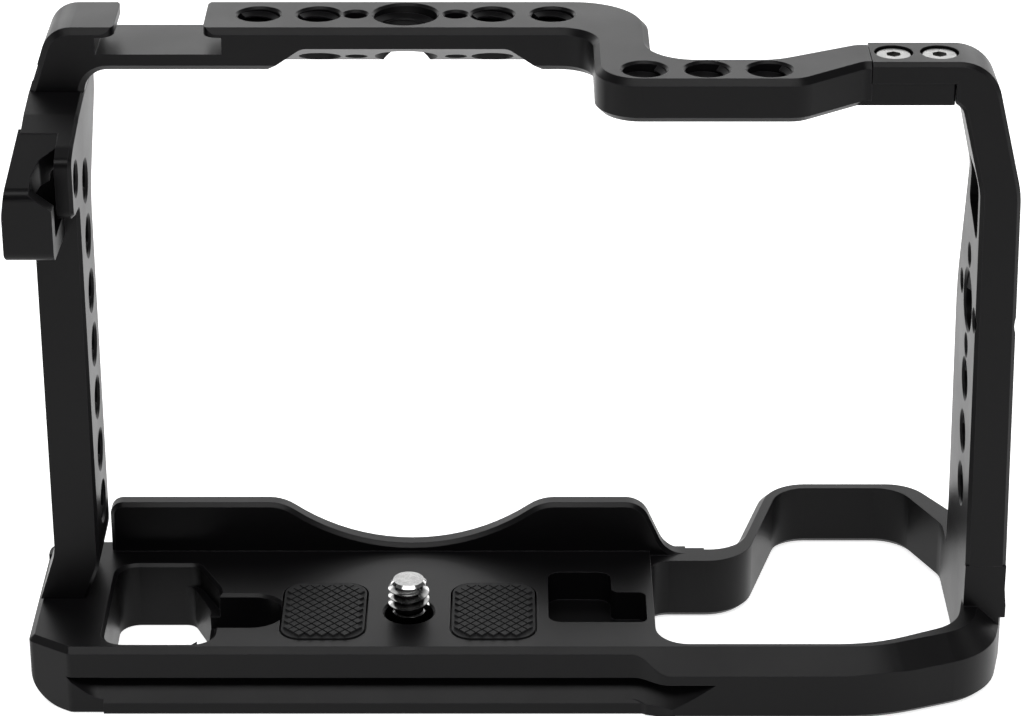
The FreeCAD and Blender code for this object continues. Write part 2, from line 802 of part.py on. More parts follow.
def right_profile():
    """Side outline of the plate: upright near edge, sloping front edge."""
    return [
        (right_y0, z_right_seam, 0), (right_y0, z_top, 0), (lap_y1, z_top, 0),
        (lap_y1, z_sole + right_neck_h, 8.0), (right_hip_y, z_sole + right_hip_h, 30.0),
        (right_y1, z_sole + right_straight_h, 24.0), (right_y1, z_right_seam, 0),
    ]


def lap_screw_places():
    y = (right_y0 + lap_y1) / 2 + 0.35
    z = z_top - cap_h - cap_sunk
    return [V(lap_screw_x, y, z), V(lap_screw_x + lap_screw_pitch, y, z)]


def right_side_plate():
    far = right_outer_x + 2
    body = front(right_section(), right_y0, right_y1)
    body = body.common(side(right_profile(), lap_x - 1, far))
    edges = [e for e in body.Edges
             if e.BoundBox.YLength < 1e-4 and abs(e.BoundBox.YMax - right_y0) < 1e-3
             and e.BoundBox.XMax > lap_x + 1 and e.BoundBox.ZMax > z_right_seam + 0.1
             and e.CenterOfMass.z > z_lap + 0.3 - 200 * (e.CenterOfMass.x > right_inner_x - 1)]
    body = body.makeChamfer(0.6, edges)
    window = side([
        (strap_y0, z_sole + strap_h0, strap_r), (strap_y1, z_sole + strap_h0 + strap_slant, strap_r),
        (strap_y1 - 2.0, z_sole + strap_h1, strap_r), (strap_y0, z_sole + strap_h1, strap_r),
    ], right_shoulder_x - 5, far)
    cutters = [window]
    for i in range(right_hole_count):
        cutters += leaning_hole(quarter_r, right_hole_y, right_hole_low + i * hole_pitch)
    cutters += leaning_hole(three_eighth_r, right_hole_y, right_centre_h)
    for dy, dz in ((1, 0), (-1, 0), (0, 1), (0, -1)):
        cutters += leaning_hole(locating_r, right_hole_y + dy * locating_reach,
                                right_centre_h + dz * locating_reach)
    for at in right_foot_places():
        cutters.append(rod(screw_r + screw_fit, V(at.x, at.y, z_right_seam - 1), Z, foot_bite + 1))
    for at in lap_screw_places():
        cutters += cap_bore(at, Z, lap_t, cap_h + 1)
    return one(body.cut(cutters))


def leaning_hole(r, y, h):
    """Cutters for a hole square to the X axis in the right plate."""
    share = (h - right_seam_h) / (right_bend_h - right_seam_h)
    x = right_inner_x - right_lean * share
    thick = right_t - 0.3 * share
    return through(r, V(x, y, z_sole + h), X, thick)


# Top frame

def top_plan():
    """Plan of bar, jog and grip-side bar."""
    return [
        (left_inner_x, bar_y0, 0), (jog_inner_x, bar_y0, jog_r - 1.5), (jog_inner_x, grip_bar_y0, jog_r),
        (grip_bar_end_x + 1.5, grip_bar_y0, 5.0), (lap_x - 1.0, right_y0, 5.0), (lap_x, right_y0, 0),
        (lap_x, lap_y1, 0), (lap_x - 2.0, lap_y1, 4.0), (grip_bar_end_x - 2.0, grip_bar_y1, 8.0),
        (jog_outer_x, grip_bar_y1, jog_r), (jog_outer_x, bar_y1, jog_r + 4.5), (left_inner_x, bar_y1, 0),
    ]


def shoulder():
    """Left end of the bar, turned down to the seam."""
    return front([
        (left_outer_x - seam_flare, z_seam, 0), (left_outer_x + corner_lean, z_top, corner_r),
        (left_inner_x + 12.0, z_top, 0), (left_inner_x + 12.0, z_bar, 0),
        (left_inner_x, z_bar, leg_fillet), (left_inner_x, z_seam, 0),
    ], bar_y0, bar_y1)


def shoulder_fillet():
    """Curve between the bar's underside and the leg."""
    r = leg_fillet
    corner = block(left_inner_x - 0.5, left_inner_x + r, bar_y0, bar_y1, z_bar - r, z_bar + 0.5)
    return corner.cut(rod(r, V(left_inner_x + r, bar_y0 - 1, z_bar - r), Y, bar_y1 - bar_y0 + 2))


def skirt():
    """Deeper front edge of the bar."""
    return side([
        (skirt_root_y, z_bar + 0.5, 0), (skirt_root_y, z_bar, 0), (skirt_y, z_bar - skirt_drop, 0),
        (bar_y1, z_bar - skirt_drop + bar_y1 - skirt_y, 0), (bar_y1, z_bar + 2.0, 0),
    ], left_inner_x - 0.5, jog_inner_x)


def arch():
    """Cutter that clears the viewfinder hump: sloping roof, flared sides."""
    low = 4.0
    run = arch_run / arch_rise
    hump = front([
        (-arch_half - run * (arch_rise + low), z_bar - low, 0), (-arch_half, z_bar + arch_rise, 2.5),
        (arch_half, z_bar + arch_rise, 2.5), (arch_half + run * (arch_rise + low), z_bar - low, 0),
    ], bar_y0 - 2, bar_y1)
    slope = (arch_rise + skirt_drop) / (skirt_y - bar_y0)
    roof = side([
        (bar_y0 - 1, z_bar + arch_rise + slope, 0), (skirt_y, z_bar - skirt_drop, 0),
        (skirt_y, z_bar - 2 * low, 0), (bar_y0 - 1, z_bar - 2 * low, 0),
    ], -2 * arch_half, 2 * arch_half)
    return hump.common(roof)


def shoe():
    """Cutter for the accessory shoe, open at both ends."""
    z_floor = z_top - shoe_depth
    wide = block(shoe_x - shoe_w / 2, shoe_x + shoe_w / 2, bar_y0 - 2, bar_y1 + 2,
                 z_floor, z_top - shoe_lip_t)
    gap = block(shoe_x - shoe_gap / 2, shoe_x + shoe_gap / 2, bar_y0 - 2, bar_y1 + 2,
                z_floor, z_top + 2)
    return [wide, gap] + shoe_corners(z_floor)


def shoe_corners(z_floor):
    """Cutters that round the lips' four free corners."""
    cutters = []
    r = shoe_corner_r
    for x, across in ((shoe_x - shoe_gap / 2, -1), (shoe_x + shoe_gap / 2, 1)):
        for y, inward in ((bar_y0, 1), (bar_y1, -1)):
            xs = sorted((x - across, x + across * r))
            ys = sorted((y - inward, y + inward * r))
            square = block(xs[0], xs[1], ys[0], ys[1], z_floor, z_top + 1)
            centre = V(x + across * r, y + inward * r, z_floor - 1)
            cutters.append(square.cut(rod(r, centre, Z, shoe_depth + 3)))
    return cutters


def top_holes():
    cutters = []
    low = z_bar - skirt_drop - 1
    holes = [(0, three_eighth_r), (-locating_reach, locating_r), (locating_reach, locating_r)]
    for side_sign in (-1, 1):
        for i in range(2):
            holes.append((side_sign * (bar_hole_first + i * hole_pitch), quarter_r))
    for x, r in holes:
        cutters.append(rod(r, V(x, bar_hole_y, low), Z, z_top - low + 1))
        cutters.append(mouth(r, V(x, bar_hole_y, z_top), Z))
    for i in range(3):
        at = V(grip_hole_first + i * hole_pitch, grip_hole_y, z_bar)
        cutters += through(quarter_r, at, Z, bar_t)
    return cutters


def top_frame():
    body = plan(top_plan(), z_bar, z_top).fuse([shoulder(), shoulder_fillet()])
    body = one(body)
    rims = [e for e in level_edges(body, z_top)
            if abs(e.CenterOfMass.x - lap_x) > 0.01]
    body = body.makeChamfer(broken_edge, rims)
    lower = [e for e in level_edges(body, z_bar, x0=jog_inner_x - 8.0)
             if abs(e.CenterOfMass.x - lap_x) > 0.01]
    lower = [e for e in lower if e.BoundBox.XMax > jog_inner_x + 0.01]
    body = body.makeChamfer(broken_edge, lower)
    body = body.fuse(skirt())
    tongue = plan([
        (lap_x - 3.0, right_y0 + 0.2, 0), (lap_end_x, right_y0 + 0.2, 0.5),
        (lap_end_x, lap_y1 - 0.2, 2.0), (lap_x - 3.0, lap_y1 - 0.2, 0),
    ], z_bar + 0.05, z_lap)
    step = block(lap_x - lap_gap, lap_x + 30, -20, 40, z_lap, z_top + 1)
    body = body.fuse(tongue).cut([step, arch(), tongue_box(bolted_gap)] + shoe() + top_holes())
    for at in lap_screw_places():
        body = body.cut(rod(screw_r + screw_fit, V(at.x, at.y, z_bar - 1), Z, bar_t))
    for at in tongue_screw_places():
        body = body.cut(cap_bore(at, X * -1, plate_t / 2, tongue_cap_h + 3))
    return one(body)


def pair(places, axis, length, head_h=cap_h):
    """Two like screws as one sub-part."""
    return Part.Compound([cap_screw(at, axis, length, head_h) for at in places])


def save(name, shape):
    shape.exportStep("parts/%s.step" % name)
    print(name, len(shape.Solids), round(shape.Volume, 1), shape.isValid())


os.makedirs("parts", exist_ok=True)
save("base_plate", base_plate())
save("left_side_plate", left_side_plate())
save("right_side_plate", right_side_plate())
save("top_frame", top_frame())
save("camera_screw", camera_screw())
save("screw_washer", screw_washer())
save("retaining_ring", retaining_ring())
save("pad_left", pad(-pad_x))
save("pad_right", pad(pad_x))
save("top_joint_screws", pair(lap_screw_places(), Z, lap_t - cap_h - cap_sunk + bar_t - lap_t - 0.3))
save("left_joint_screws", pair(tongue_screw_places(), X * -1, 3.4, tongue_cap_h))
save("left_foot_screws", pair(left_foot_places(), Z * -1, base_t - left_foot_cap_h + foot_bite - 0.3))
save("right_foot_screws", pair(right_foot_places(), Z * -1,
                               right_seam_h - right_foot_cap_h + foot_bite - 0.3))
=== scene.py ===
"""Finish, small parts and studio for a camera cage."""
import bmesh
import bpy
import math
from bpy.props import FloatProperty, FloatVectorProperty, IntProperty, PointerProperty
from mathutils import Matrix, Vector


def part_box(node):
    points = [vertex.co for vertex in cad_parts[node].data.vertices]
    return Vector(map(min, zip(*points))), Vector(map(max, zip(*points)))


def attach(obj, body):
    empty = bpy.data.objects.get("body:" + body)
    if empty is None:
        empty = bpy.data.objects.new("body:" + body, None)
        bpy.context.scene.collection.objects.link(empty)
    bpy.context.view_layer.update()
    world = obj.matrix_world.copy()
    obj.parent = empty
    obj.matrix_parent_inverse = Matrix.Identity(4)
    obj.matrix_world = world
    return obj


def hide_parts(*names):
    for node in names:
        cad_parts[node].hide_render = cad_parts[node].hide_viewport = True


bl_info = {
    "name": "Camera cage",
    "version": (1, 0, 0),
    "blender": (4, 5, 0),
    "location": "3D View > Sidebar > Cage",
    "description": "Dresses the camera cage and lights it",
    "category": "Object",
}

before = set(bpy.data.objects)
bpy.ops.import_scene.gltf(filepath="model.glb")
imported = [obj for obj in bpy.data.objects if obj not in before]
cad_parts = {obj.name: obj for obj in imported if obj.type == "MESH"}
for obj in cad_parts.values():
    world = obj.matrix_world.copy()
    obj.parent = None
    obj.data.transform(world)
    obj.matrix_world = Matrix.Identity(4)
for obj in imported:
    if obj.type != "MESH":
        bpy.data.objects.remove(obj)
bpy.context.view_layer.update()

MM = 0.001
INCH = 0.0254
ORIGIN = (0, 0, 0)
AXIS_X = (1, 0, 0)
AXIS_Z = (0, 0, 1)

# Places that follow from the frame
SOLE_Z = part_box("base_plate")[0].z
TOP_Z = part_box("top_frame")[1].z
LEFT_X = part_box("left_side_plate")[1].x
SCREW_LOW, SCREW_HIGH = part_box("camera_screw")

# Tapped holes, in the frame's millimetres: metal they run through, places, and how many in a row
PLATE_T = 6.9
BAR_T = 6.6
RIGHT_T = 6.2
HOLE_PITCH = 9.0
BAR_HOLE_Y = 22.9
BAR_HOLE_FIRST = 13.0
GRIP_HOLE_Y = -0.7
GRIP_HOLE_FIRST = 35.0
GRIP_HOLES = 3
LEFT_HOLE_Y = 12.1
LEFT_HOLE_H = 24.0
LEFT_HOLES = 7
RIGHT_HOLE_Y = 11.3
RIGHT_HOLE_H = 27.5
RIGHT_HOLES = 3
RIGHT_CENTRE_H = 58.7

# Lean of the right plate's wall between its seam and its bend
RIGHT_FOOT_X = 86.0
RIGHT_LEAN = 1.2
RIGHT_SEAM_H = 18.0
RIGHT_BEND_H = 80.0

# Arch under the bar, where the threads start a little below its crown, and a hole's plain mouth
ARCH_RISE = 3.5
ARCH_DROP = 1.0
MOUTH = 0.35

# Teeth of a tapped hole in parts of the pitch, and their sink into the wall in millimetres
TOOTH_DEPTH = 0.6134
TOOTH_ROOT_W = 0.92
TOOTH_TIP_W = 0.16
TOOTH_START = 0.5
TOOTH_SINK = 0.03

# Camera screw from its top down, in millimetres
STUD_R = 3.15
STUD_TOP_R = 2.35
STUD_SHOULDER_R = 2.75
STUD_SHOULDER_DROP = 0.4
STUD_END_DROP = 0.95
STUD_FOOT_RISE = 0.4
DECK_Z = -0.5
# Painted shade darkens the camera screw from this far below the deck downwards
SHADE_DROP = 0.2
NECK_DROP = 0.2
NECK_R = 2.5
HEAD_TOP_H = 7.05
HEAD_R = 6.6
HEAD_CHAMFER = 0.35
SCREW_STEPS = 96
MERGE_DISTANCE = 1e-7

# Teeth of the stud in parts of the pitch, and their sink into its core in millimetres
STUD_TOOTH_DEPTH = 0.72
STUD_TOOTH_ROOT_W = 0.88
STUD_TOOTH_TIP_W = 0.1
STUD_TOOTH_START = 0.45
STUD_TOOTH_STOP = 1.3
STUD_TOOTH_SINK = 0.05

# Radii between which the stud's thread turns bright, its bright top, and the painted shade of its roots
CREST_LOW_R = 2.35
CREST_HIGH_R = 2.95
TOP_BAND = 0.5
ROOT_PAINTED_SHADE = 0.12

# Pads, in millimetres
PAD_CORNER_R = 3.2
PAD_RIM = 0.35
PAD_MARGIN = 0.5
RIB_CORNER = 2.6
RIB_CORNER_R = 2.3

# Ribs: rows and radii in parts of the spacing, depth in parts of the height that stands up
RIB_ROW = 1.12
RIB_FOOT_R = 0.488
RIB_TIP_R = 0.4
RIB_DEPTH = 1.5

# Corners of the meshes
CORNER_SEGMENTS = 8
HALF_UNIT = 0.5
SHARP_ANGLE = math.radians(40)

# Sockets of a colour mix
MIX_FACTOR = 0
MIX_FIRST = 6
MIX_SECOND = 7
MIX_RESULT = 2

# Noise: scale and detail of each pattern, roughness of all, and the range that they fill
NOISE_ROUGHNESS = 0.6
NOISE_LOW = 0.3
NOISE_HIGH = 0.7
ANODISED_GRAIN = (7000.0, 2.0)
ANODISED_CLOUD = (60.0, 4.0)
STEEL_STAIN = (900.0, 3.0)
STEEL_GRAIN = (14000.0, 2.0)
RUBBER_DUST = (1500.0, 4.0)
RUBBER_PORES = (11000.0, 2.0)

# Bumps: strength, and distance in metres
ANODISED_BUMP = (0.2, 0.00003)
STEEL_BUMP = (0.08, 0.00002)
RUBBER_BUMP = (0.3, 0.00003)

# Shades as factors of a colour
ANODISED_SHADES = (0.8, 1.25)
# Paler edges of the anodised plates: partly wear, partly a painted highlight
ANODISED_EDGE_WEAR_AND_HIGHLIGHT = 7.0
STEEL_SHADES = (0.86, 1.1)
RUBBER_SHADES = (0.75, 1.5)
LAP_SCREW_SHADE = 0.7
STUD_SHADE = 1.15

# Roughness, and how far it drifts
ANODISED_DRIFT = 0.03
STEEL_DRIFT = (0.75, 1.3)
LAP_SCREW_ROUGHNESS = 0.3
DARK_ROUGHNESS = 0.38
STUD_ROUGHNESS = 0.16
RUBBER_ROUGHNESS = (0.5, 0.68)
RUBBER_IOR = 1.24

# Edges: how well the soft normal matches the plain one on a flat face and on a sharp edge
EDGE_SAMPLES = 4
EDGE_FLAT = 0.995
EDGE_SHARP = 0.86

# Studio, in metres
FLOOR_HALF = 1.2
FLOOR_BACK = 0.5
FLOOR_GAP = 0.0002
FLOOR_SEGMENTS = 12
PAPER_GLOW = 0.8
WORLD_COLOUR = (0.5, 0.5, 0.51, 1)
AIM = (0, 0, 0.04)
OVERHEAD_AIM = (0.02, 0, 0.04)
SENSOR = 36.0
NEAREST = 0.01
FARTHEST = 20.0

# Softboxes: name, place, point that it faces, width and height
SOFTBOXES = (
    ("behind", (0.0, 1.2, 0.36), AIM, 2.8, 0.36),
    ("above", (0.0, 1.15, 1.1), AIM, 2.8, 1.15),
    ("overhead", (0.02, -0.42, 0.86), OVERHEAD_AIM, 1.0, 0.36),
    ("left", (-1.1, -0.1, 0.45), AIM, 0.5, 0.6),
    ("right", (1.1, -0.1, 0.45), AIM, 0.5, 0.6),
)


# Settings

class CageColours(bpy.types.PropertyGroup):
    anodised: FloatVectorProperty(
        name="Anodised", description="Colour of the anodised plates", subtype="COLOR",
        size=3, min=0, max=1, default=(0.0036, 0.0034, 0.0038))
    anodised_ior: FloatProperty(
        name="Gloss", description="Refractive index of the finish", default=1.24, min=1)
    edge: FloatProperty(
        name="Edge", description="Radius of the softened edges", default=0.00016, unit="LENGTH")
    anodised_roughness: FloatProperty(
        name="Roughness", description="Roughness of the blasted finish", default=0.36, min=0, max=1)
    steel: FloatVectorProperty(
        name="Bright steel", description="Colour of the plated screws", subtype="COLOR",
        size=3, min=0, max=1, default=(0.46, 0.46, 0.455))
    # Dark steel is also the colour of the painted shade on the camera screw
    dark_steel: FloatVectorProperty(
        name="Dark steel", description="Colour of the blackened screws", subtype="COLOR",
        size=3, min=0, max=1, default=(0.05, 0.05, 0.052))
    rubber: FloatVectorProperty(
        name="Rubber", description="Colour of the pads", subtype="COLOR",
        size=3, min=0, max=1, default=(0.013, 0.013, 0.0135))


class CageSizes(bpy.types.PropertyGroup):
    quarter_r: FloatProperty(
        name="Quarter-inch radius", description="Outer radius of the small tapped holes",
        default=0.003175, unit="LENGTH")
    quarter_pitch: FloatProperty(
        name="Quarter-inch pitch", description="Pitch of the small threads",
        default=INCH / 20, unit="LENGTH")
    large_r: FloatProperty(
        name="Three-eighths radius", description="Outer radius of the large tapped holes",
        default=0.0047625, unit="LENGTH")
    large_pitch: FloatProperty(
        name="Three-eighths pitch", description="Pitch of the large threads",
        default=INCH / 16, unit="LENGTH")
    pad_rib: FloatProperty(
        name="Rib spacing", description="Distance between the pads' crossed ribs",
        default=0.00158, unit="LENGTH")
    pad_rib_height: FloatProperty(
        name="Rib height", description="How far the ribs stand up", default=0.00034, unit="LENGTH")
    steps: IntProperty(
        name="Steps", description="Steps in one turn of a thread", default=40, min=12)


class CageStage(bpy.types.PropertyGroup):
    lens: FloatProperty(
        name="Lens", description="Focal length on a 36 mm sensor", default=121.42,
        subtype="DISTANCE_CAMERA")
    pitch: FloatProperty(
        name="Pitch", description="How far the camera looks down", default=math.radians(25.10),
        subtype="ANGLE")
    camera_at: FloatVectorProperty(
        name="Camera", description="Place of the camera", subtype="TRANSLATION",
        size=3, default=(0.01595, -0.46774, 0.26191))
    key: FloatProperty(
        name="Key", description="Power of the overhead softbox", default=5.6, unit="POWER")
    behind: FloatProperty(
        name="Behind", description="Power of the softbox behind", default=8.4, unit="POWER")
    above: FloatProperty(
        name="Above", description="Power of the softbox high behind", default=8.5, unit="POWER")
    world: FloatProperty(
        name="World", description="Strength of the surroundings", default=0.2)
    fill: FloatProperty(
        name="Fill", description="Power of the side softboxes", default=1.5, unit="POWER")
    backdrop: FloatVectorProperty(
        name="Backdrop", description="Colour of the paper floor", subtype="COLOR",
        size=3, min=0, max=1, default=(0.9, 0.9, 0.9))


# Node helpers

def new_material(name):
    """Material with an empty tree; returns both."""
    material = bpy.data.materials.new(name)
    material.use_nodes = True
    tree = material.node_tree
    tree.nodes.clear()
    return material, tree


def add(tree, kind, **inputs):
    """Node of one kind with its sockets and settings filled in."""
    node = tree.nodes.new(kind)
    for key, value in inputs.items():
        socket = key.replace("_", " ")
        if socket in node.inputs:
            node.inputs[socket].default_value = value
        else:
            setattr(node, key, value)
    return node


def shader(tree, **inputs):
    """Principled shader joined to the output."""
    body = add(tree, "ShaderNodeBsdfPrincipled", **inputs)
    out = add(tree, "ShaderNodeOutputMaterial")
    tree.links.new(body.outputs["BSDF"], out.inputs["Surface"])
    return body


def feed(tree, socket, value):
    """Fills a socket with a value, or joins it to the socket that gives one."""
    if isinstance(value, bpy.types.NodeSocket):
        tree.links.new(value, socket)
    else:
        socket.default_value = value


def maths(tree, operation, first, second):
    """Result of one operation on two values, each a number or a socket."""
    node = add(tree, "ShaderNodeMath", operation=operation)
    feed(tree, node.inputs[0], first)
    feed(tree, node.inputs[1], second)
    return node.outputs[0]


def mapped(tree, value, low, high, to_low=0.0, to_high=1.0):
    """Value taken from one range to another and held inside it."""
    node = add(tree, "ShaderNodeMapRange", From_Min=low, From_Max=high, To_Min=to_low, To_Max=to_high)
    tree.links.new(value, node.inputs["Value"])
    return node.outputs["Result"]


def blend(tree, factor, first, second):
    """Mix of two colours, each given as red, green and blue or as a socket."""
    node = add(tree, "ShaderNodeMix", data_type="RGBA")
    for index, colour in ((MIX_FIRST, first), (MIX_SECOND, second)):
        joined = isinstance(colour, bpy.types.NodeSocket)
        feed(tree, node.inputs[index], colour if joined else (*colour, 1))
    tree.links.new(factor, node.inputs[MIX_FACTOR])
    return node.outputs[MIX_RESULT]


def noise(tree, place, scale, detail):
    """Noise in the object's own space."""
    node = add(tree, "ShaderNodeTexNoise", Scale=scale, Detail=detail, Roughness=NOISE_ROUGHNESS)
    tree.links.new(place.outputs["Object"], node.inputs["Vector"])
    return node.outputs["Fac"]


def spread(tree, factor, low, high):
    """Noise stretched to fill a range."""
    return mapped(tree, factor, NOISE_LOW, NOISE_HIGH, low, high)


def scaled(colour, factor):
    """Lighter or darker shade of a colour."""
    return [min(1.0, c * factor) for c in colour]


def tint(tree, factor, colour, shades):
    """Drift between two shades of one colour."""
    first, second = (scaled(colour, shade) for shade in shades)
    return blend(tree, factor, first, second)


def bump(tree, height, strength, distance, normal=None):
    """Normal roughened by a height, on top of another normal where one is given."""
    node = add(tree, "ShaderNodeBump", Strength=strength, Distance=distance)
    tree.links.new(height, node.inputs["Height"])
    if normal is not None:
        tree.links.new(normal, node.inputs["Normal"])
    return node.outputs["Normal"]


# Materials

def soft_edges(tree, radius):
    """Normal softened at the edges, and how near an edge each point lies."""
    soft = add(tree, "ShaderNodeBevel", Radius=radius)
    soft.samples = EDGE_SAMPLES
    plain = add(tree, "ShaderNodeNewGeometry")
    match = add(tree, "ShaderNodeVectorMath", operation="DOT_PRODUCT")
    tree.links.new(soft.outputs["Normal"], match.inputs[0])
    tree.links.new(plain.outputs["Normal"], match.inputs[1])
    near = mapped(tree, match.outputs["Value"], EDGE_FLAT, EDGE_SHARP)
    return soft.outputs["Normal"], near


def anodised_material():
    """Bead-blasted, black anodised aluminium, paler along its edges from wear and a painted highlight.
    """
    settings = bpy.context.scene.cage_colours
    material, tree = new_material("black_anodised")
    body = shader(tree, IOR=settings.anodised_ior)
    place = add(tree, "ShaderNodeTexCoord")
    grain = noise(tree, place, *ANODISED_GRAIN)
    cloud = noise(tree, place, *ANODISED_CLOUD)
    colour = tint(tree, cloud, settings.anodised, ANODISED_SHADES)
    normal, near = soft_edges(tree, settings.edge)
    # Paler edges: partly wear, partly a painted highlight along each edge
    worn_and_highlit = blend(tree, near, colour, scaled(settings.anodised, ANODISED_EDGE_WEAR_AND_HIGHLIGHT))
    tree.links.new(worn_and_highlit, body.inputs["Base Color"])
    low = settings.anodised_roughness - ANODISED_DRIFT
    high = settings.anodised_roughness + ANODISED_DRIFT
    tree.links.new(spread(tree, cloud, low, high), body.inputs["Roughness"])
    tree.links.new(bump(tree, grain, *ANODISED_BUMP, normal=normal), body.inputs["Normal"])
    return material


def steel_material(name, colour, roughness, shaded_below=None):
    """Turned steel; given a height, it has painted shade below it and in the thread's roots."""
    material, tree = new_material(name)
    body = shader(tree, Metallic=1.0)
    place = add(tree, "ShaderNodeTexCoord")
    stain = noise(tree, place, *STEEL_STAIN)
    shade = tint(tree, stain, colour, STEEL_SHADES)
    if shaded_below is not None:
        axes = add(tree, "ShaderNodeSeparateXYZ")
        tree.links.new(place.outputs["Object"], axes.inputs[0])
        height = axes.outputs["Z"]
        # Painted shade below the given height
        shade = paint_shade(tree, shade, maths(tree, "GREATER_THAN", height, shaded_below))
        # Painted shade in the thread's roots, fading out towards the crests
        shade = paint_shade(tree, shade, painted_root_shade_mask(tree, place, height))
    tree.links.new(shade, body.inputs["Base Color"])
    low, high = (roughness * share for share in STEEL_DRIFT)
    tree.links.new(spread(tree, stain, low, high), body.inputs["Roughness"])
    grain = noise(tree, place, *STEEL_GRAIN)
    tree.links.new(bump(tree, grain, *STEEL_BUMP), body.inputs["Normal"])
    return material


def paint_shade(tree, colour, keep):
    """Painted shade, in the dark steel's colour, wherever keep is 0."""
    return blend(tree, keep, bpy.context.scene.cage_colours.dark_steel, colour)


def painted_root_shade_mask(tree, place, height):
    """1 on the thread's crests and on the stud's top, less in the roots, where shade is painted."""
    flat = add(tree, "ShaderNodeVectorMath", operation="MULTIPLY")
    flat.inputs[1].default_value = (1, 1, 0)
    tree.links.new(place.outputs["Object"], flat.inputs[0])
    reach = add(tree, "ShaderNodeVectorMath", operation="LENGTH")
    tree.links.new(flat.outputs[0], reach.inputs[0])
    near = mapped(tree, reach.outputs["Value"], CREST_LOW_R * MM, CREST_HIGH_R * MM, to_low=ROOT_PAINTED_SHADE)
    top = maths(tree, "GREATER_THAN", height, SCREW_HIGH.z - TOP_BAND * MM)
    return maths(tree, "MAXIMUM", near, top)


def rubber_material():
    """Matte rubber with fine pores."""
    colour = bpy.context.scene.cage_colours.rubber
    material, tree = new_material("rubber")
    body = shader(tree, IOR=RUBBER_IOR)
    place = add(tree, "ShaderNodeTexCoord")
    dust = noise(tree, place, *RUBBER_DUST)
    tree.links.new(tint(tree, dust, colour, RUBBER_SHADES), body.inputs["Base Color"])
    tree.links.new(spread(tree, dust, *RUBBER_ROUGHNESS), body.inputs["Roughness"])
    pores = noise(tree, place, *RUBBER_PORES)
    tree.links.new(bump(tree, pores, *RUBBER_BUMP), body.inputs["Normal"])
    return material


def backdrop_material():
    """Pale paper that takes the object's shadow and looks lit in reflections and through clear parts."""
    colour = bpy.context.scene.cage_stage.backdrop
    material, tree = new_material("backdrop")
    out = add(tree, "ShaderNodeOutputMaterial")
    paper = add(tree, "ShaderNodeBsdfDiffuse", Color=(*colour, 1))
    glow = add(tree, "ShaderNodeEmission", Color=(1, 1, 1, 1))
    path = add(tree, "ShaderNodeLightPath")
    seen = maths(tree, "MAXIMUM", path.outputs["Is Camera Ray"], path.outputs["Is Glossy Ray"])
    clear = maths(tree, "MAXIMUM", seen, path.outputs["Is Transmission Ray"])
    tree.links.new(maths(tree, "MULTIPLY", clear, PAPER_GLOW), glow.inputs["Strength"])
    both = add(tree, "ShaderNodeAddShader")
    tree.links.new(paper.outputs[0], both.inputs[0])
    tree.links.new(glow.outputs[0], both.inputs[1])
    tree.links.new(both.outputs[0], out.inputs["Surface"])
    return material


# Mesh helpers

def piece(name, bm, material, body, replaces=()):
    """Finished object from a bmesh, riding on a body."""
    mesh = bpy.data.meshes.new(name)
    bm.to_mesh(mesh)
    bm.free()
    mesh.shade_smooth()
    mesh.set_sharp_from_angle(angle=SHARP_ANGLE)
    obj = bpy.data.objects.new(name, mesh)
    bpy.context.scene.collection.objects.link(obj)
    mesh.materials.append(material)
    if replaces:
        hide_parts(*replaces)
    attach(obj, body)
    return obj


def helix(bm, root_r, tip_r, root_w, tip_w, pitch, length, steps):
    """Sweeps one tooth up the Z axis from Z=0; returns the new vertices."""
    before = set(bm.verts)
    section = [(root_r, -root_w / 2), (tip_r, -tip_w / 2), (tip_r, tip_w / 2), (root_r, root_w / 2)]
    ring = [bm.verts.new((r, 0, z)) for r, z in section]
    sides = [bm.edges.new(pair) for pair in zip(ring, ring[1:] + ring[:1])]
    turns = max(1.0, length / pitch)
    count = int(round(turns * steps))
    bmesh.ops.spin(bm, geom=ring + sides, cent=ORIGIN, axis=AXIS_Z,
                   dvec=(0, 0, turns * pitch / count), angle=turns * 2 * math.pi, steps=count)
    rim = [e for e in bm.edges if e.is_boundary]
    bmesh.ops.holes_fill(bm, edges=rim, sides=len(section))
    made = [v for v in bm.verts if v not in before]
    faces = [f for f in bm.faces if all(v not in before for v in f.verts)]
    bmesh.ops.recalc_face_normals(bm, faces=faces)
    return made


def tapped(bm, sizes, start, axis, length, large=False):
    """Thread inside a plain hole, small or large, that runs from start along axis."""
    r = sizes.large_r if large else sizes.quarter_r
    pitch = sizes.large_pitch if large else sizes.quarter_pitch
    made = helix(bm, r + TOOTH_SINK * MM, r - TOOTH_DEPTH * pitch, pitch * TOOTH_ROOT_W,
                 pitch * TOOTH_TIP_W, pitch, length - pitch, sizes.steps)
    turn = Vector(axis).to_track_quat("Z", "Y").to_matrix().to_4x4()
    place = Matrix.Translation(Vector(start) + Vector(axis) * (pitch * TOOTH_START)) @ turn
    bmesh.ops.transform(bm, matrix=place, verts=made)


def rounded_plate(bm, centre, width, length, radius, low, high):
    """Flat plate with round corners; returns its top face."""
    made = bmesh.ops.create_grid(bm, x_segments=1, y_segments=1, size=HALF_UNIT)["verts"]
    place = Matrix.Translation((centre.x, centre.y, low)) @ Matrix.Diagonal((width, length, 1, 1))
    bmesh.ops.transform(bm, verts=made, matrix=place)
    bmesh.ops.bevel(bm, geom=made, affect="VERTICES", offset=radius, segments=CORNER_SEGMENTS,
                    profile=0.5, material=-1)
    face = bm.faces[:][-1]
    raised = bmesh.ops.extrude_face_region(bm, geom=[face])["geom"]
    rim = [g for g in raised if isinstance(g, bmesh.types.BMVert)]
    bmesh.ops.translate(bm, vec=(0, 0, high - low), verts=rim)
    top = [g for g in raised if isinstance(g, bmesh.types.BMFace)][0]
    bmesh.ops.recalc_face_normals(bm, faces=bm.faces[:])
    return top


# Operators

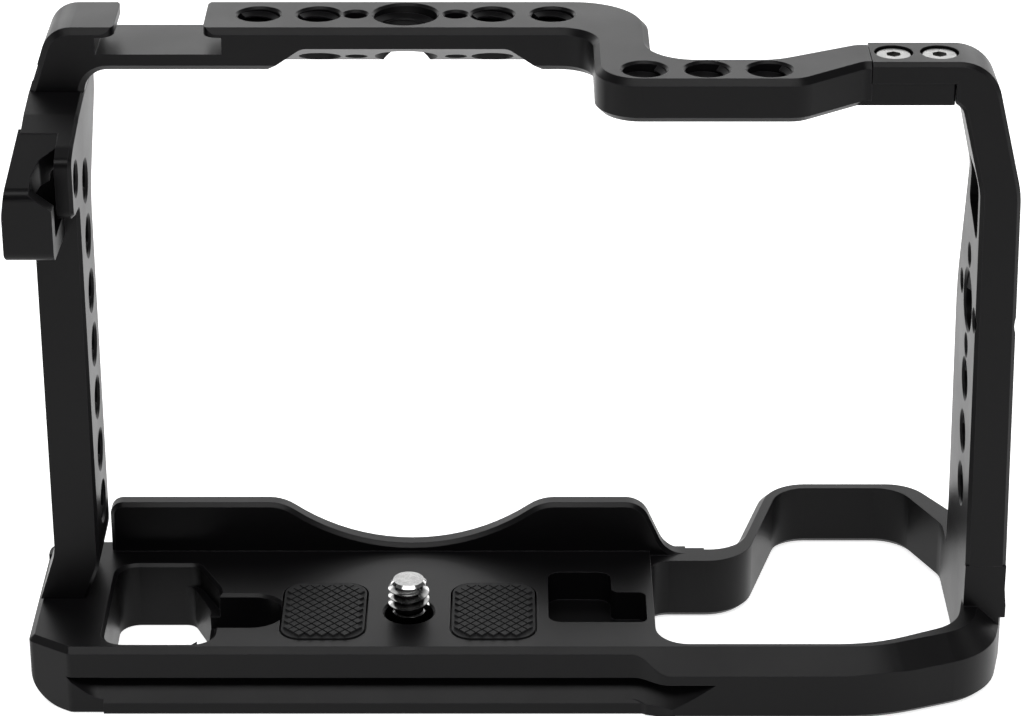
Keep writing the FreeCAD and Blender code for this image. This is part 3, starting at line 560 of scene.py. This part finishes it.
class CAGE_OT_finish(bpy.types.Operator):
    """Gives the plates and small screws their finish"""
    bl_idname = "cage.finish"
    bl_label = "Finish plates and screws"

    def execute(self, context):
        colours = context.scene.cage_colours
        anodised = anodised_material()
        plated = scaled(colours.steel, LAP_SCREW_SHADE)
        bright = steel_material("bright_steel", plated, LAP_SCREW_ROUGHNESS)
        dark = steel_material("dark_steel", colours.dark_steel, DARK_ROUGHNESS)
        kinds = {
            "base_plate": anodised, "left_side_plate": anodised, "right_side_plate": anodised,
            "top_frame": anodised, "top_joint_screws": bright, "left_joint_screws": dark,
            "left_foot_screws": dark, "right_foot_screws": dark, "retaining_ring": dark,
            "screw_washer": dark,
        }
        for name, material in kinds.items():
            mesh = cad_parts[name].data
            mesh.materials.clear()
            mesh.materials.append(material)
        return {"FINISHED"}


class CAGE_OT_screw(bpy.types.Operator):
    """Models the camera screw with its thread, neck and plain head"""
    bl_idname = "cage.camera_screw"
    bl_label = "Camera screw"

    def execute(self, context):
        pitch = context.scene.cage_sizes.quarter_pitch
        major = STUD_R * MM
        minor = major - STUD_TOOTH_DEPTH * pitch
        deck = DECK_Z * MM
        foot = deck + STUD_FOOT_RISE * MM
        head_top = SOLE_Z + HEAD_TOP_H * MM
        rim_r = (HEAD_R - HEAD_CHAMFER) * MM
        bm = bmesh.new()
        profile = [
            (0, SCREW_HIGH.z),
            (STUD_TOP_R * MM, SCREW_HIGH.z),
            (STUD_SHOULDER_R * MM, SCREW_HIGH.z - STUD_SHOULDER_DROP * MM),
            (minor, SCREW_HIGH.z - STUD_END_DROP * MM),
            (minor, foot),
            (NECK_R * MM, foot - NECK_DROP * MM),
            (NECK_R * MM, head_top),
            (rim_r, head_top),
            (HEAD_R * MM, head_top - HEAD_CHAMFER * MM),
            (HEAD_R * MM, SCREW_LOW.z + HEAD_CHAMFER * MM),
            (rim_r, SCREW_LOW.z),
            (0, SCREW_LOW.z),
        ]
        verts = [bm.verts.new((r, 0, z)) for r, z in profile]
        edges = [bm.edges.new(pair) for pair in zip(verts, verts[1:])]
        bmesh.ops.spin(bm, geom=verts + edges, cent=ORIGIN, axis=AXIS_Z,
                       angle=2 * math.pi, steps=SCREW_STEPS, use_merge=True)
        bmesh.ops.remove_doubles(bm, verts=bm.verts[:], dist=MERGE_DISTANCE)
        bmesh.ops.recalc_face_normals(bm, faces=bm.faces[:])
        rise = SCREW_HIGH.z - foot - STUD_TOOTH_STOP * pitch
        made = helix(bm, minor - STUD_TOOTH_SINK * MM, major, pitch * STUD_TOOTH_ROOT_W,
                     pitch * STUD_TOOTH_TIP_W, pitch, rise, SCREW_STEPS)
        bmesh.ops.translate(bm, vec=(0, 0, foot + pitch * STUD_TOOTH_START), verts=made)
        plated = scaled(context.scene.cage_colours.steel, STUD_SHADE)
        # The screw gets painted shade below the deck and in its thread's roots
        material = steel_material("bright_screw", plated, STUD_ROUGHNESS, deck - SHADE_DROP * MM)
        piece("camera_screw_threaded", bm, material, "screw", ["camera_screw"])
        return {"FINISHED"}


class CAGE_OT_pads(bpy.types.Operator):
    """Models the two rubber pads with their crossed ribs"""
    bl_idname = "cage.pads"
    bl_label = "Rubber pads"

    def execute(self, context):
        sizes = context.scene.cage_sizes
        material = rubber_material()
        for side in ("left", "right"):
            low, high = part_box("pad_%s" % side)
            centre = (low + high) / 2
            width = high.x - low.x
            length = high.y - low.y
            rib = sizes.pad_rib_height
            bm = bmesh.new()
            top = rounded_plate(bm, centre, width, length, PAD_CORNER_R * MM, low.z, high.z - rib)
            bmesh.ops.inset_region(bm, faces=[top], thickness=PAD_RIM * MM, depth=0)
            margin = PAD_MARGIN * MM
            ribs = self.ribs(centre, width - margin, length - margin, high.z, rib, sizes.pad_rib)
            mesh = bpy.data.meshes.new("ribs")
            ribs.to_mesh(mesh)
            ribs.free()
            bm.from_mesh(mesh)
            piece("pad_%s_ribbed" % side, bm, material, "frame", ["pad_%s" % side])
        return {"FINISHED"}

    def ribs(self, centre, width, length, high, height, spacing):
        """Staggered rows of small, flat-topped pyramids with grooves between them."""
        bm = bmesh.new()
        columns = int(width / spacing)
        rows = int(length / (spacing * RIB_ROW))
        step_x = width / columns
        step_y = length / rows
        for i in range(columns * 2 - 1):
            for j in range(rows * 2 - 1):
                if (i + j) % 2:
                    continue
                x = centre.x + (i - (columns - 1)) * step_x / 2
                y = centre.y + (j - (rows - 1)) * step_y / 2
                past_x = max(0, abs(x - centre.x) - width / 2 + RIB_CORNER * MM)
                past_y = max(0, abs(y - centre.y) - length / 2 + RIB_CORNER * MM)
                if math.hypot(past_x, past_y) > RIB_CORNER_R * MM:
                    continue
                made = bmesh.ops.create_cone(bm, cap_ends=True, segments=4, radius1=RIB_FOOT_R,
                                             radius2=RIB_TIP_R, depth=1.0)["verts"]
                size = Matrix.Diagonal((step_x, step_y, height * RIB_DEPTH, 1))
                place = Matrix.Translation((x, y, high - height * RIB_DEPTH / 2))
                bmesh.ops.transform(bm, matrix=place @ size, verts=made)
        return bm


class CAGE_OT_threads(bpy.types.Operator):
    """Models the threads inside the tapped holes"""
    bl_idname = "cage.threads"
    bl_label = "Threads"

    def execute(self, context):
        sizes = context.scene.cage_sizes
        material = anodised_material()
        self.top(sizes, material)
        self.left(sizes, material)
        self.right(sizes, material)
        return {"FINISHED"}

    def top(self, sizes, material):
        """Threads of the long bar and of the bar over the grip."""
        bm = bmesh.new()
        high = TOP_Z - MOUTH * MM
        bar_z = TOP_Z - BAR_T * MM
        arch_z = bar_z + (ARCH_RISE - ARCH_DROP) * MM
        y = BAR_HOLE_Y * MM
        tapped(bm, sizes, (0, y, arch_z), AXIS_Z, high - arch_z, large=True)
        for side in (-1, 1):
            near = side * BAR_HOLE_FIRST * MM
            far = side * (BAR_HOLE_FIRST + HOLE_PITCH) * MM
            tapped(bm, sizes, (near, y, arch_z), AXIS_Z, high - arch_z)
            tapped(bm, sizes, (far, y, bar_z), AXIS_Z, high - bar_z)
        for i in range(GRIP_HOLES):
            at = ((GRIP_HOLE_FIRST + i * HOLE_PITCH) * MM, GRIP_HOLE_Y * MM, bar_z + MOUTH * MM)
            tapped(bm, sizes, at, AXIS_Z, (BAR_T - 2 * MOUTH) * MM)
        piece("threads_top", bm, material, "frame")

    def left(self, sizes, material):
        """Threads of the column in the left plate."""
        bm = bmesh.new()
        x = LEFT_X - (PLATE_T - MOUTH) * MM
        for i in range(LEFT_HOLES):
            at = (x, LEFT_HOLE_Y * MM, SOLE_Z + (LEFT_HOLE_H + i * HOLE_PITCH) * MM)
            tapped(bm, sizes, at, AXIS_X, (PLATE_T - 2 * MOUTH) * MM)
        piece("threads_left", bm, material, "frame")

    def right(self, sizes, material):
        """Threads of the right plate, whose wall leans."""
        bm = bmesh.new()
        heights = [RIGHT_HOLE_H + i * HOLE_PITCH for i in range(RIGHT_HOLES)] + [RIGHT_CENTRE_H]
        for h in heights:
            share = (h - RIGHT_SEAM_H) / (RIGHT_BEND_H - RIGHT_SEAM_H)
            x = RIGHT_FOOT_X - RIGHT_LEAN * share + MOUTH
            at = (x * MM, RIGHT_HOLE_Y * MM, SOLE_Z + h * MM)
            tapped(bm, sizes, at, AXIS_X, (RIGHT_T - 2 * MOUTH) * MM, large=h == RIGHT_CENTRE_H)
        piece("threads_right", bm, material, "frame")


class CAGE_OT_stage(bpy.types.Operator):
    """Sets the paper floor, the lights and the camera"""
    bl_idname = "cage.stage"
    bl_label = "Studio"

    def execute(self, context):
        scene = context.scene
        settings = scene.cage_stage
        self.paper()
        self.lights(settings)
        self.camera(scene, settings)
        scene.view_settings.view_transform = "Standard"
        return {"FINISHED"}

    def paper(self):
        """Wide floor under the object."""
        bm = bmesh.new()
        made = bmesh.ops.create_grid(bm, x_segments=FLOOR_SEGMENTS, y_segments=FLOOR_SEGMENTS,
                                     size=FLOOR_HALF)["verts"]
        bmesh.ops.translate(bm, vec=(0, FLOOR_BACK, SOLE_Z - FLOOR_GAP), verts=made)
        mesh = bpy.data.meshes.new("backdrop")
        bm.to_mesh(mesh)
        bm.free()
        obj = bpy.data.objects.new("backdrop", mesh)
        bpy.context.scene.collection.objects.link(obj)
        mesh.materials.append(backdrop_material())

    def lights(self, settings):
        """Even surroundings and the softboxes."""
        world = bpy.data.worlds.new("studio")
        bpy.context.scene.world = world
        world.use_nodes = True
        sky = world.node_tree.nodes["Background"]
        sky.inputs["Color"].default_value = WORLD_COLOUR
        sky.inputs["Strength"].default_value = settings.world
        powers = {
            "behind": settings.behind, "above": settings.above, "overhead": settings.key,
            "left": settings.fill, "right": settings.fill,
        }
        for name, at, target, width, height in SOFTBOXES:
            self.softbox(name, powers[name], at, target, width, height)

    def softbox(self, name, power, at, target, width, height):
        """Rectangular light that faces its target."""
        data = bpy.data.lights.new(name, "AREA")
        data.shape = "RECTANGLE"
        data.size = width
        data.size_y = height
        data.energy = power
        obj = bpy.data.objects.new(name, data)
        bpy.context.scene.collection.objects.link(obj)
        obj.location = at
        obj.rotation_mode = "QUATERNION"
        obj.rotation_quaternion = (Vector(target) - Vector(at)).to_track_quat("-Z", "Y")

    def camera(self, scene, settings):
        """Camera that looks down on the object."""
        data = bpy.data.cameras.new("camera")
        data.lens = settings.lens
        data.sensor_width = SENSOR
        data.clip_start = NEAREST
        data.clip_end = FARTHEST
        obj = bpy.data.objects.new("camera", data)
        scene.collection.objects.link(obj)
        obj.location = settings.camera_at
        obj.rotation_euler = (math.pi / 2 - settings.pitch, 0, 0)
        scene.camera = obj


class CAGE_PT_panel(bpy.types.Panel):
    """Lists the cage's settings and steps"""
    bl_idname = "CAGE_PT_panel"
    bl_label = "Camera cage"
    bl_space_type = "VIEW_3D"
    bl_region_type = "UI"
    bl_category = "Cage"

    def draw(self, context):
        for group in (context.scene.cage_colours, context.scene.cage_sizes, context.scene.cage_stage):
            for key in group.__annotations__:
                self.layout.prop(group, key)
        for step in STEPS:
            self.layout.operator(step.bl_idname)


STEPS = (CAGE_OT_finish, CAGE_OT_screw, CAGE_OT_pads, CAGE_OT_threads, CAGE_OT_stage)
CLASSES = (CageColours, CageSizes, CageStage) + STEPS + (CAGE_PT_panel,)


def register():
    for cls in CLASSES:
        bpy.utils.register_class(cls)
    bpy.types.Scene.cage_colours = PointerProperty(type=CageColours)
    bpy.types.Scene.cage_sizes = PointerProperty(type=CageSizes)
    bpy.types.Scene.cage_stage = PointerProperty(type=CageStage)


def unregister():
    del bpy.types.Scene.cage_stage
    del bpy.types.Scene.cage_sizes
    del bpy.types.Scene.cage_colours
    for cls in reversed(CLASSES):
        bpy.utils.unregister_class(cls)


def main():
    register()
    bpy.ops.cage.finish()
    bpy.ops.cage.camera_screw()
    bpy.ops.cage.pads()
    bpy.ops.cage.threads()
    bpy.ops.cage.stage()


if __name__ == "__main__":
    main()
